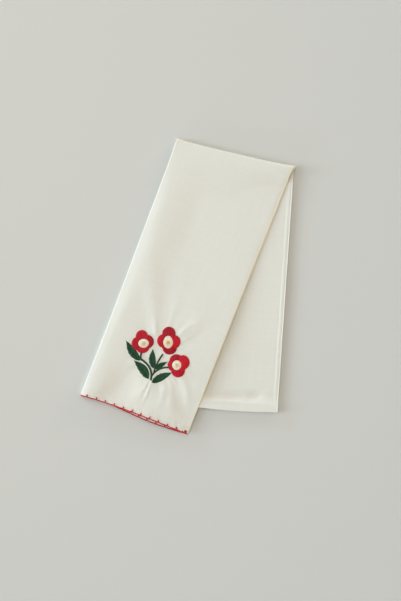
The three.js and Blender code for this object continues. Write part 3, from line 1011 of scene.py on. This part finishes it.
# Each part of the sprig has seeds of its own for its uneven stitches
seeds = range(10, 10 + 10 * len(FLOWERS), 10)
red = sew("petals", sum((make_petals(f, p, seed) for f, p, seed in zip(FLOWERS, PETALS, seeds)), []))
eyes = sew("flower_eyes", sum((make_eye(f, seed) for f, seed in zip(FLOWERS, seeds)), []))
gold = sew("flower_knots", sum((make_knots(f, seed) for f, seed in zip(FLOWERS, seeds)), []))
leaves = sew("leaves", sum((make_leaf(row, 60 + 3 * k) for k, row in enumerate(LEAVES)), []))
stems = sew("stems", sum((make_stem(*stem, 90 + k) for k, stem in enumerate(STEMS)), []))
edge_stitch = make_edge_stitch()
hem_stitch = make_hem_stitch()

red_thread = thread_material("red_thread", (0.27, 0.003, 0.010), (0.65, 0.011, 0.026), 0.55)
green_thread = thread_material("green_thread", (0.008, 0.040, 0.016), (0.018, 0.076, 0.032), 0.55)
cream_thread = thread_material("cream_thread", (0.84, 0.80, 0.67), (0.93, 0.90, 0.79), 0.6)
eye_thread = thread_material("eye_thread", (0.78, 0.70, 0.565), (0.90, 0.83, 0.69), 0.6)
gold_thread = thread_material("gold_thread", (0.80, 0.56, 0.09), (0.86, 0.66, 0.40), 0.55)
pieces = [
    (cloth, cloth_material(), "cloth"),
    (red, red_thread, "thread_red"),
    (edge_stitch, red_thread, "thread_red"),
    (eyes, eye_thread, "thread_cream"),
    (hem_stitch, cream_thread, "thread_cream"),
    (gold, gold_thread, "thread_gold"),
    (leaves, green_thread, "thread_green"),
    (stems, green_thread, "thread_green"),
]
for piece, material, slot in pieces:
    piece.data.materials.append(material)
    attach(piece, "root")
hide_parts("towel")


def set_down():
    """Moves all pieces from the strip's own origin to where the folded solid lies."""
    low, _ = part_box("towel")
    shift = np.array([*ON_TABLE, 0]) * MM
    shift[2] = low[2] - lowest(cloth)
    for piece, _, _ in pieces:
        piece.data.vertices.foreach_set("co", (points_of(piece) + shift).ravel())
        piece.data.update()


set_down()


# Floor, light and camera

# How far the flat floor goes, how far the rest of it and how high that rises, in millimetres
FLAT_REACH, FLOOR_REACH, FAR_RISE = 12000.0, 24000.0, 380.0
FLOOR_SIDES = 48
FLOOR_TONE = (0.62, 0.62, 0.575)


def make_floor():
    """A flat round floor that rises a little far off, so that it fills a low view too."""
    here = np.arange(FLOOR_SIDES)
    after = (here + 1) % FLOOR_SIDES
    turn = 2 * np.pi * here / FLOOR_SIDES
    circle = np.stack([np.cos(turn), np.sin(turn)], axis=1)
    inner = np.column_stack([circle * FLAT_REACH, np.zeros(FLOOR_SIDES)])
    outer = np.column_stack([circle * FLOOR_REACH, np.full(FLOOR_SIDES, FAR_RISE)])
    slope = np.stack([here, here + FLOOR_SIDES, after + FLOOR_SIDES, after], axis=1)
    floor = new_object("floor", np.concatenate([inner, outer]), [here[None], slope])
    floor.data.materials.append(floor_material())


# Light from the window side is cooler than the rest, which the room has warmed. Together they are white
WINDOW, ROOM = (0.84, 1.0, 1.18), (1.08, 1.0, 0.91)

# Soft lights a long way off: where each stands round the table, how high, how wide it looks, all in
# degrees, its share of the light on the floor and its colour
LIGHTS = [
    (180, 22, 22, 0.15, WINDOW),
    (135, 8, 12, 0.065, WINDOW),
    (180, 8, 12, 0.075, WINDOW),
    (225, 8, 12, 0.046, WINDOW),
    (45, 8, 12, 0.04, ROOM),
    (315, 22, 22, 0.04, ROOM),
    (0, 38, 30, 0.11, ROOM),
    (90, 45, 30, 0.07, ROOM),
    (270, 45, 30, 0.07, ROOM),
]

# The soft box overhead: its way in degrees, its distance and size in metres. Then its share of the light
# on the floor, the share that comes from all round, and all the light
OVERHEAD_WAY, OVERHEAD_DISTANCE, OVERHEAD_SIZE = (145, 62), 2.0, 1.3
OVERHEAD_SHARE, WORLD_SHARE = 0.23, 0.12
FLOOR_LIGHT = 0.985


def toward(azimuth, elevation):
    """The unit direction at these two angles in degrees."""
    a, e = math.radians(azimuth), math.radians(elevation)
    return Vector((math.cos(e) * math.cos(a), math.cos(e) * math.sin(a), math.sin(e)))


def add_light(name, kind, way, energy, colour, distance=3.0):
    """A light that shines at the table's middle from this way."""
    lamp = bpy.data.lights.new(name, kind)
    lamp.energy = energy
    lamp.color = colour
    light = in_scene(name, lamp)
    light.location = way * distance
    light.rotation_euler = way.to_track_quat("Z", "Y").to_euler()
    return lamp, light


def make_light():
    """A wide window on the left, a soft box overhead and fill from all round."""
    for k, (azimuth, elevation, width, share, colour) in enumerate(LIGHTS):
        way = toward(azimuth, elevation)
        lamp, _ = add_light(f"far_{k}", "SUN", way, share * FLOOR_LIGHT * math.pi / way.z, colour)
        lamp.angle = math.radians(width)
    way = toward(*OVERHEAD_WAY)
    power = OVERHEAD_SHARE * FLOOR_LIGHT * math.pi**2 * OVERHEAD_DISTANCE**2 / way.z
    lamp, box = add_light("overhead", "AREA", way, power, ROOM, OVERHEAD_DISTANCE)
    lamp.shape = "DISK"
    lamp.size = OVERHEAD_SIZE
    box.visible_camera = False
    world = bpy.data.worlds.new("studio")
    world.use_nodes = True
    background = world.node_tree.nodes["Background"]
    background.inputs["Color"].default_value = (*ROOM, 1)
    background.inputs["Strength"].default_value = WORLD_SHARE * FLOOR_LIGHT
    bpy.context.scene.world = world
    bpy.context.scene.view_settings.view_transform = "Standard"


# The camera's place in metres, and the height of its frame: the photograph's 601 pixels of 1.30 mm
CAMERA_PLACE = (0.0172, -0.0184, 1.5)
FRAME_HEIGHT = 601 * 1.30 * MM
SENSOR_WIDTH = 36


def make_camera():
    """Straight above, as far off as a photographer's stand."""
    lens = bpy.data.cameras.new("camera")
    lens.sensor_width = SENSOR_WIDTH
    lens.lens = SENSOR_WIDTH * CAMERA_PLACE[2] / FRAME_HEIGHT
    camera = in_scene("camera", lens)
    camera.location = CAMERA_PLACE
    bpy.context.scene.camera = camera


make_floor()
make_light()
make_camera()
